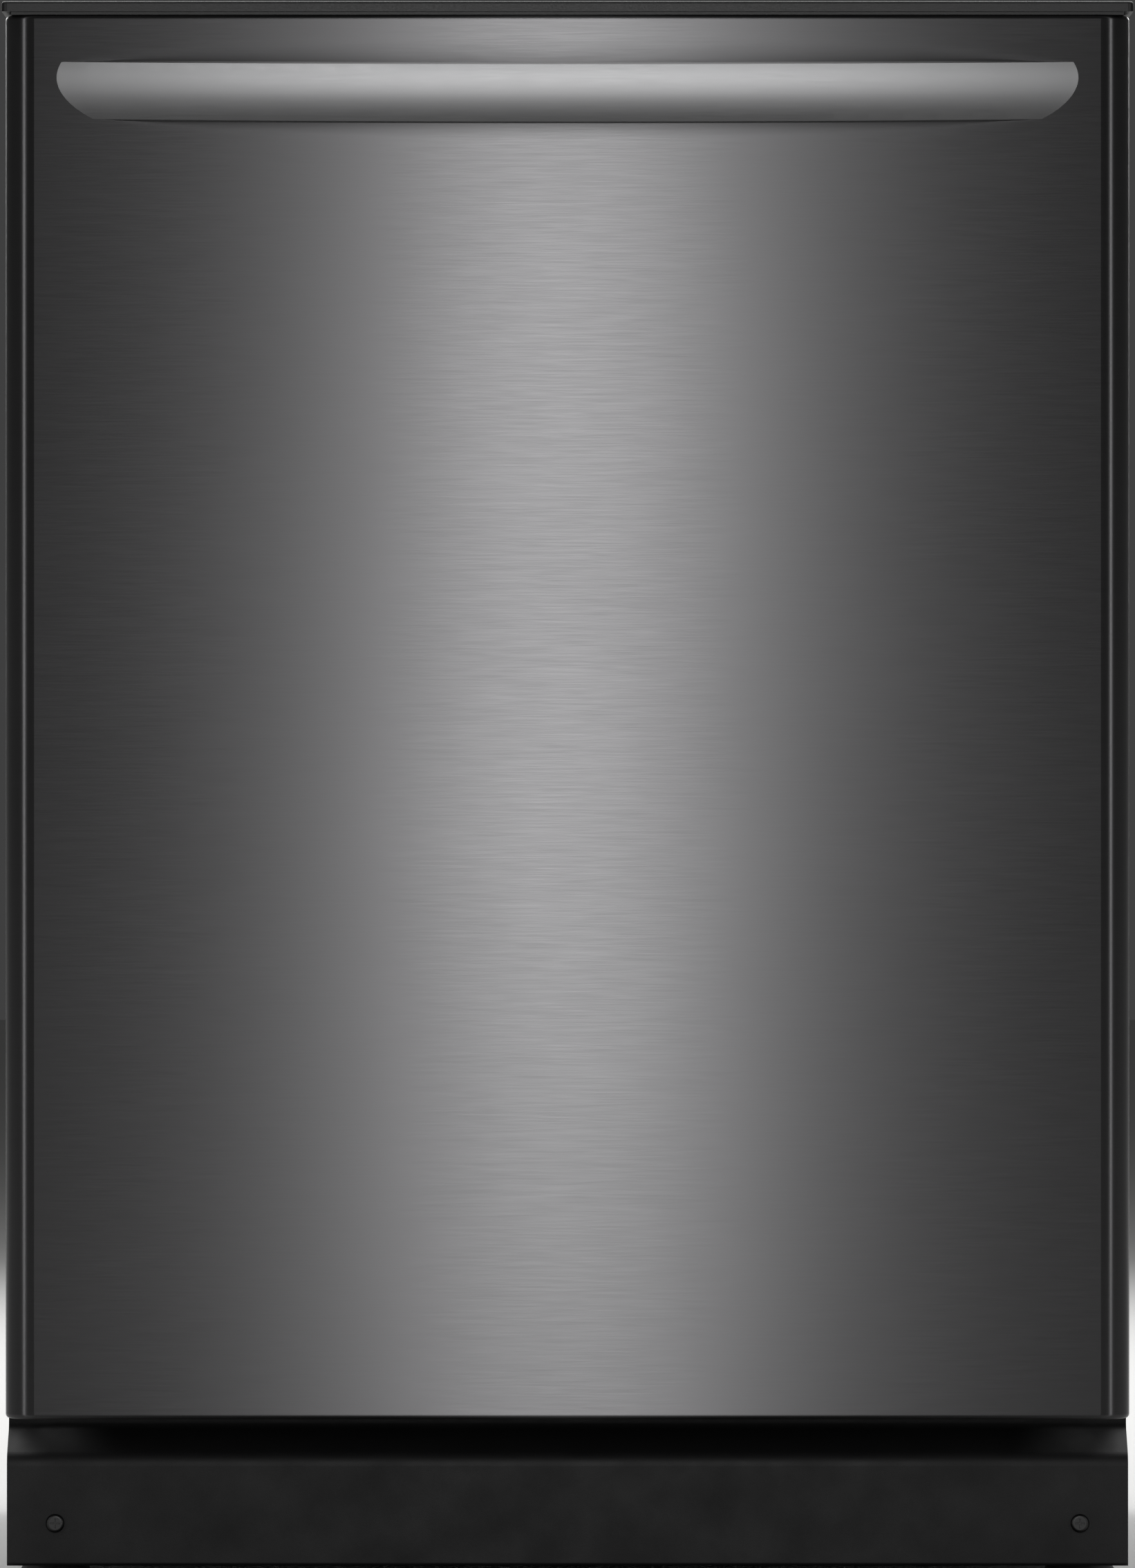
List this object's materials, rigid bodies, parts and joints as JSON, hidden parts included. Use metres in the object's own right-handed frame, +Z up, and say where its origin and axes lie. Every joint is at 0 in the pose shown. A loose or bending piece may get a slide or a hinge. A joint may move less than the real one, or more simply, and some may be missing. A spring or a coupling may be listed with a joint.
{
  "type": "built-in dishwasher",
  "caption": "Built-in dishwasher with a drop-down black stainless door, bow handle, hidden top controls, toe kick, racks and spray arms.",
  "frame": {"origin": "on the floor, under the middle of the machine's overall box, handle included", "axes": "+Z up, the front faces -Y, +X to the right of someone facing the front"},
  "size_m": [0.606, 0.6409, 0.845],
  "materials": {
    "black_stainless": "dark tinted stainless with horizontal brushing",
    "handle_finish": "dark tinted satin metal",
    "zinc_screws": "bright zinc",
    "dark_screws": "blackened steel",
    "tub_stainless": "fine-brushed stainless",
    "felt": "needled felt",
    "console_black": "black, light texture",
    "button_black": "black, satin",
    "light_guides": "milky clear",
    "circuit_board": "green solder mask",
    "grey_plastic": "moulded",
    "dispenser_grey": "moulded",
    "dispenser_dark": "moulded",
    "galvanised_steel": "galvanised, satin",
    "gasket_rubber": "matte",
    "toe_kick_black": "black powder coat, fine grain",
    "pump_plastic": "moulded",
    "heater_sheath": "heat-tinted nickel alloy",
    "filter_grey": "moulded",
    "nylon_white": "nylon",
    "rail_steel": "drawn stainless",
    "spring_steel": "oiled spring steel",
    "rack_nylon": "grey nylon coating",
    "basket_grey": "moulded",
    "spray_arm_grey": "moulded",
    "foot_nylon": "moulded"
  },
  "bodies": {
    "cabinet": {"tub_shell": "tub_stainless", "tub_floor": "tub_stainless", "front_frame": "tub_stainless", "tub_gasket": "gasket_rubber", "latch_strike": "galvanised_steel", "sound_blanket": "felt", "base_rails": "galvanised_steel", "base_cross_members": "galvanised_steel", "toe_kick": "toe_kick_black", "toe_kick_screws": "dark_screws", "counter_brackets": "galvanised_steel", "hinge_brackets": "galvanised_steel", "sump": "grey_plastic", "wash_pump": "pump_plastic", "drain_pump": "pump_plastic", "heating_element": "heater_sheath", "coarse_filter": "tub_stainless", "inlet_valve": "pump_plastic", "junction_box": "galvanised_steel", "wash_feed_tube": "filter_grey", "top_spray_nozzle": "filter_grey", "rail_rollers": "nylon_white", "door_springs": "spring_steel"},
    "door": {"door_outer_panel": "black_stainless", "door_handle": "handle_finish", "handle_screws": "zinc_screws", "door_inner_liner": "tub_stainless", "door_sound_pad": "felt", "control_console": "console_black", "indicator_lenses": "light_guides", "control_board": "circuit_board", "latch_housing": "grey_plastic", "dispenser_housing": "dispenser_grey", "hinge_arms": "galvanised_steel"},
    "dispenser_lid": {"dispenser_lid": "dispenser_grey"},
    "rinse_aid_cap": {"rinse_aid_cap": "dispenser_dark"},
    "float_cap": {"float_cap": "filter_grey"},
    "filter_cup": {"filter_cup": "filter_grey"},
    "lower_spray_arm": {"lower_spray_arm": "spray_arm_grey"},
    "lower_rack": {"lower_rack_floor": "rack_nylon", "lower_rack_walls": "rack_nylon", "cutlery_basket": "basket_grey"},
    "upper_rack": {"upper_rack_floor": "rack_nylon", "upper_rack_walls": "rack_nylon", "upper_rack_manifold": "filter_grey"},
    "middle_spray_arm": {"middle_spray_arm": "spray_arm_grey"},
    "rack_rail_left": {"rack_rail_left": "rail_steel"},
    "rack_rail_right": {"rack_rail_right": "rail_steel"},
    "button_1": {"button_1": "button_black"},
    "button_2": {"button_2": "button_black"},
    "button_3": {"button_3": "button_black"},
    "button_4": {"button_4": "button_black"},
    "foot_front_left": {"foot_front_left": "foot_nylon"},
    "foot_front_right": {"foot_front_right": "foot_nylon"},
    "foot_rear_left": {"foot_rear_left": "foot_nylon"},
    "foot_rear_right": {"foot_rear_right": "foot_nylon"},
    "rack_wheel_front_left": {"rack_wheel_front_left": "nylon_white"},
    "rack_wheel_front_right": {"rack_wheel_front_right": "nylon_white"},
    "rack_wheel_rear_left": {"rack_wheel_rear_left": "nylon_white"},
    "rack_wheel_rear_right": {"rack_wheel_rear_right": "nylon_white"}
  },
  "joints": [
    {"name": "door_hinge", "type": "hinge", "parent": "cabinet", "child": "door", "pos_m": [0, -0.2465, 0.106], "axis": [1, 0, 0], "range_deg": [0, 90], "stiffness_Nm_per_rad": 17.5},
    {"name": "lower_rack_slide", "type": "slide", "parent": "cabinet", "child": "lower_rack", "axis": [0, -1, 0], "range_m": [0, 0.123]},
    {"name": "upper_rack_slide", "type": "slide", "parent": "cabinet", "child": "upper_rack", "axis": [0, -1, 0], "range_m": [0, 0.456]},
    {"name": "left_rail_slide", "type": "slide", "parent": "cabinet", "child": "rack_rail_left", "axis": [0, -1, 0], "range_m": [0, 0.2283]},
    {"name": "right_rail_slide", "type": "slide", "parent": "cabinet", "child": "rack_rail_right", "axis": [0, -1, 0], "range_m": [0, 0.2283]},
    {"name": "lower_arm_spin", "type": "hinge", "parent": "cabinet", "child": "lower_spray_arm", "pos_m": [0, 0.0535, 0.15], "axis": [0, 0, 1], "continuous": true},
    {"name": "middle_arm_spin", "type": "hinge", "parent": "upper_rack", "child": "middle_spray_arm", "pos_m": [0, 0.0535, 0.47], "axis": [0, 0, 1], "continuous": true},
    {"name": "float_lift", "type": "slide", "parent": "cabinet", "child": "float_cap", "axis": [0, 0, 1], "range_m": [0, 0.01]},
    {"name": "filter_twist", "type": "hinge", "parent": "cabinet", "child": "filter_cup", "pos_m": [0.062, -0.0015, 0.09], "axis": [0, 0, 1], "range_deg": [0, 90]},
    {"name": "dispenser_lid_slide", "type": "slide", "parent": "door", "child": "dispenser_lid", "axis": [1, 0, 0], "range_m": [0, 0.068]},
    {"name": "rinse_cap_turn", "type": "hinge", "parent": "door", "child": "rinse_aid_cap", "pos_m": [0.04, -0.2165, 0.558], "axis": [0, 1, 0], "range_deg": [0, 90]},
    {"name": "wheel_front_left_roll", "type": "hinge", "parent": "lower_rack", "child": "rack_wheel_front_left", "pos_m": [-0.244, -0.0865, 0.15635], "axis": [1, 0, 0], "range_deg": [0, 391]},
    {"name": "wheel_front_right_roll", "type": "hinge", "parent": "lower_rack", "child": "rack_wheel_front_right", "pos_m": [0.244, -0.0865, 0.15635], "axis": [1, 0, 0], "range_deg": [0, 391]},
    {"name": "wheel_rear_left_roll", "type": "hinge", "parent": "lower_rack", "child": "rack_wheel_rear_left", "pos_m": [-0.244, 0.2235, 0.15635], "axis": [1, 0, 0], "range_deg": [0, 391]},
    {"name": "wheel_rear_right_roll", "type": "hinge", "parent": "lower_rack", "child": "rack_wheel_rear_right", "pos_m": [0.244, 0.2235, 0.15635], "axis": [1, 0, 0], "range_deg": [0, 391]},
    {"name": "button_1_press", "type": "slide", "parent": "door", "child": "button_1", "axis": [0, 0, -1], "range_m": [0, 0.001], "stiffness_N_per_m": 800, "springref_m": -0.0008},
    {"name": "button_2_press", "type": "slide", "parent": "door", "child": "button_2", "axis": [0, 0, -1], "range_m": [0, 0.001], "stiffness_N_per_m": 800, "springref_m": -0.0008},
    {"name": "button_3_press", "type": "slide", "parent": "door", "child": "button_3", "axis": [0, 0, -1], "range_m": [0, 0.001], "stiffness_N_per_m": 800, "springref_m": -0.0008},
    {"name": "button_4_press", "type": "slide", "parent": "door", "child": "button_4", "axis": [0, 0, -1], "range_m": [0, 0.001], "stiffness_N_per_m": 800, "springref_m": -0.0008},
    {"name": "foot_front_left_screw", "type": "slide", "parent": "cabinet", "child": "foot_front_left", "axis": [0, 0, -1], "range_m": [0, 0.025]},
    {"name": "foot_front_right_screw", "type": "slide", "parent": "cabinet", "child": "foot_front_right", "axis": [0, 0, -1], "range_m": [0, 0.025]},
    {"name": "foot_rear_left_screw", "type": "slide", "parent": "cabinet", "child": "foot_rear_left", "axis": [0, 0, -1], "range_m": [0, 0.025]},
    {"name": "foot_rear_right_screw", "type": "slide", "parent": "cabinet", "child": "foot_rear_right", "axis": [0, 0, -1], "range_m": [0, 0.025]}
  ],
  "couplings": [
    {"joint": "lower_rack_slide", "follows": "door_hinge", "m_per_rad": 0.078},
    {"joint": "upper_rack_slide", "follows": "door_hinge", "m_per_rad": 0.29},
    {"joint": "left_rail_slide", "follows": "door_hinge", "m_per_rad": 0.145},
    {"joint": "right_rail_slide", "follows": "door_hinge", "m_per_rad": 0.145},
    {"joint": "wheel_front_left_roll", "follows": "door_hinge", "ratio": 4.3333},
    {"joint": "wheel_front_right_roll", "follows": "door_hinge", "ratio": 4.3333},
    {"joint": "wheel_rear_left_roll", "follows": "door_hinge", "ratio": 4.3333},
    {"joint": "wheel_rear_right_roll", "follows": "door_hinge", "ratio": 4.3333}
  ]
}
